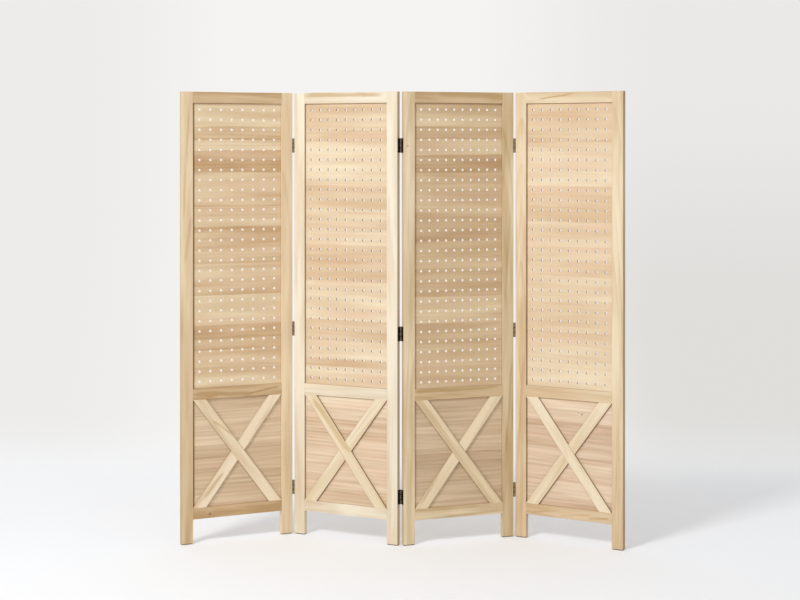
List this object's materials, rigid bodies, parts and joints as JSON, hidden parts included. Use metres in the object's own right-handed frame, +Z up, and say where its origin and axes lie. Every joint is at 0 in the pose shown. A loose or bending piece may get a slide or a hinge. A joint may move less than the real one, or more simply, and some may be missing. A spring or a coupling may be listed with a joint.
{
  "type": "folding screen",
  "caption": "Freestanding wooden folding screen: hinged frame panels with perforated peg boards above and cross-braced boards below, standing on legs in a zigzag.",
  "frame": {"origin": "on the floor, under the middle of the screen's bounding box as it stands in its zigzag", "axes": "+Z up, +X to the right along the row of panels as seen from their fronts, -Y out of the fronts"},
  "size_m": [1.6594, 0.3094, 1.7],
  "materials": {
    "frame_wood": "bare planed softwood, pale yellow, with fine straight grain",
    "peg_board_wood": "bare light wood in level bands of varied tone",
    "lower_board_wood": "bare light wood, pinkish tan with level streaks",
    "brace_wood": "bare planed softwood",
    "hinge_metal": "dark bronze, satin",
    "screw_metal": "dark bronze, satin",
    "glide_plastic": "dark matt pad"
  },
  "bodies": {
    "panel_1": {"left_stile_1": "frame_wood", "right_stile_1": "frame_wood", "bottom_rail_1": "frame_wood", "middle_rail_1": "frame_wood", "top_rail_1": "frame_wood", "brace_over_1": "brace_wood", "brace_under_1": "brace_wood", "peg_board_1": "peg_board_wood", "lower_board_1": "lower_board_wood", "glides_1": "glide_plastic", "hinge_leaves_1_right": "hinge_metal", "hinge_screws_1_right": "screw_metal", "hinge_pins_1_2": "hinge_metal"},
    "panel_2": {"left_stile_2": "frame_wood", "right_stile_2": "frame_wood", "bottom_rail_2": "frame_wood", "middle_rail_2": "frame_wood", "top_rail_2": "frame_wood", "brace_over_2": "brace_wood", "brace_under_2": "brace_wood", "peg_board_2": "peg_board_wood", "lower_board_2": "lower_board_wood", "glides_2": "glide_plastic", "hinge_leaves_2_left": "hinge_metal", "hinge_screws_2_left": "screw_metal", "hinge_leaves_2_right": "hinge_metal", "hinge_screws_2_right": "screw_metal", "hinge_pins_2_3": "hinge_metal"},
    "panel_3": {"left_stile_3": "frame_wood", "right_stile_3": "frame_wood", "bottom_rail_3": "frame_wood", "middle_rail_3": "frame_wood", "top_rail_3": "frame_wood", "brace_over_3": "brace_wood", "brace_under_3": "brace_wood", "peg_board_3": "peg_board_wood", "lower_board_3": "lower_board_wood", "glides_3": "glide_plastic", "hinge_leaves_3_left": "hinge_metal", "hinge_screws_3_left": "screw_metal", "hinge_leaves_3_right": "hinge_metal", "hinge_screws_3_right": "screw_metal", "hinge_pins_3_4": "hinge_metal"},
    "panel_4": {"left_stile_4": "frame_wood", "right_stile_4": "frame_wood", "bottom_rail_4": "frame_wood", "middle_rail_4": "frame_wood", "top_rail_4": "frame_wood", "brace_over_4": "brace_wood", "brace_under_4": "brace_wood", "peg_board_4": "peg_board_wood", "lower_board_4": "lower_board_wood", "glides_4": "glide_plastic", "hinge_leaves_4_left": "hinge_metal", "hinge_screws_4_left": "screw_metal"}
  },
  "joints": [
    {"name": "fold_1_2", "type": "hinge", "parent": "panel_2", "child": "panel_1", "pos_m": [-0.41523, 0.13741, 0.792], "axis": [0, 0, 1], "range_deg": [-54.66, 125.34]},
    {"name": "fold_2_3", "type": "hinge", "parent": "panel_2", "child": "panel_3", "pos_m": [-0.00082, -0.05661, 0.792], "axis": [0, 0, 1], "range_deg": [-48.81, 131.19]},
    {"name": "fold_3_4", "type": "hinge", "parent": "panel_3", "child": "panel_4", "pos_m": [0.43446, 0.08447, 0.792], "axis": [0, 0, 1], "range_deg": [-127.08, 52.92]}
  ]
}
